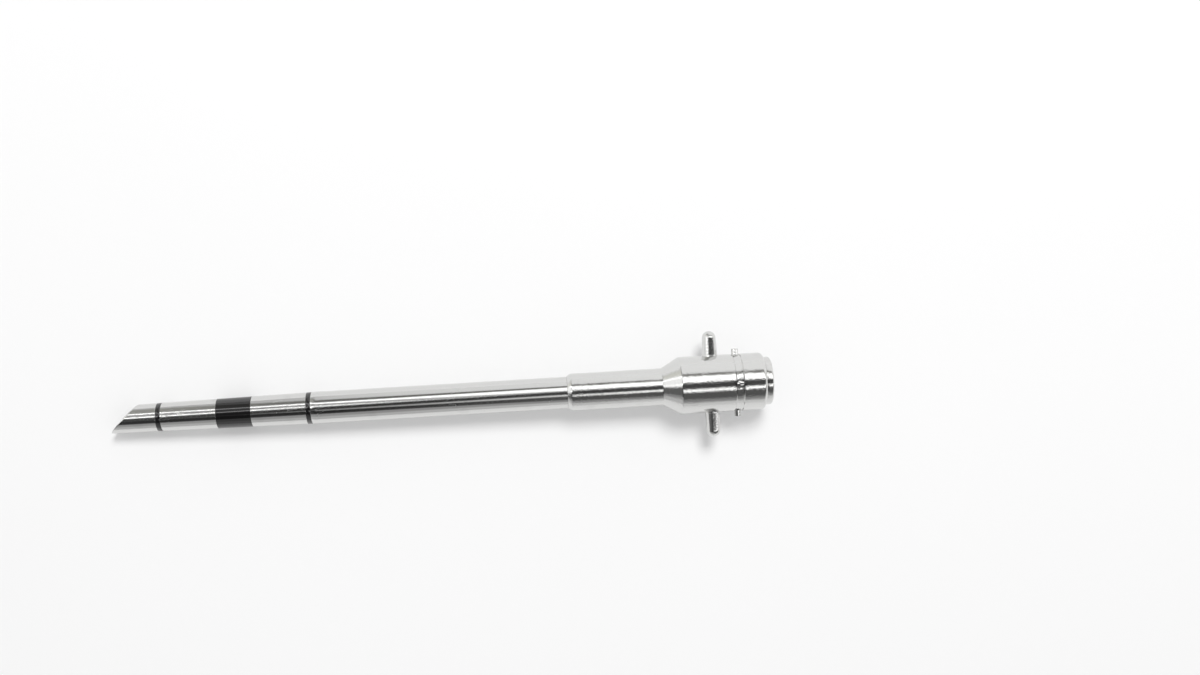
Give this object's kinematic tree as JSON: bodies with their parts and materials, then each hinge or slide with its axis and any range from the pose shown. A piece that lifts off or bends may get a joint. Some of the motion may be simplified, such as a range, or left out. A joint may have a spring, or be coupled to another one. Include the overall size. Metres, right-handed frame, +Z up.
{
  "type": "laparoscopic trocar cannula",
  "caption": "Straight steel laparoscopic trocar cannula with a bevelled tip, black depth rings, a turned hub with grip pins and studs, a sprung flap valve and a screwed rear collar.",
  "frame": {"origin": "on the cannula's axis at the middle of the wide black depth ring, where the cannula pivots in the body wall", "axes": "+X along the cannula's axis from the tip to the hub, +Y along the left grip pin, +Z up through the key pin"},
  "size_m": [0.1509, 0.0246, 0.0134],
  "materials": {
    "polished_steel": "turned and polished stainless steel",
    "pin_steel": "polished stainless steel pin",
    "satin_steel": "satin stainless steel",
    "spring_steel": "drawn spring wire",
    "black_enamel": "hard black filled enamel, semi-gloss",
    "black_rubber": "matt rubber",
    "clear_silicone": "translucent silicone, satin"
  },
  "bodies": {
    "root": {"cannula_tube": "polished_steel", "distal_mark": "black_enamel", "centre_mark": "black_enamel", "proximal_mark": "black_enamel", "hub_body": "polished_steel", "grip_pin_left": "pin_steel", "grip_pin_right": "pin_steel", "cap_stud_left": "pin_steel", "cap_stud_right": "pin_steel", "key_pin": "pin_steel", "instrument_seal": "clear_silicone", "valve_housing": "satin_steel", "housing_o_ring": "black_rubber", "hinge_pin": "pin_steel", "torsion_spring": "spring_steel"},
    "flap": {"flap": "satin_steel", "flap_facing": "clear_silicone", "facing_rivet": "satin_steel"},
    "thrust_washer": {"thrust_washer": "satin_steel"},
    "rear_collar": {"rear_collar": "polished_steel", "collar_o_ring": "black_rubber"}
  },
  "joints": [
    {"name": "flap_swing", "type": "hinge", "parent": "root", "child": "flap", "pos_m": [0.11303, 0.0037, 0], "axis": [0, 0, -1], "range_deg": [0, 90], "stiffness_Nm_per_rad": 0.0008, "springref_deg": -34.38, "deforming": ["torsion_spring"]},
    {"name": "collar_travel", "type": "slide", "parent": "root", "child": "thrust_washer", "axis": [1, 0, 0], "range_m": [0, 0.0021]},
    {"name": "collar_turn", "type": "hinge", "parent": "thrust_washer", "child": "rear_collar", "pos_m": [0.1214, 0, 0], "axis": [1, 0, 0], "range_deg": [0, 1008]}
  ],
  "couplings": [
    {"joint": "collar_turn", "follows": "collar_travel", "rad_per_m": 8377.6}
  ]
}
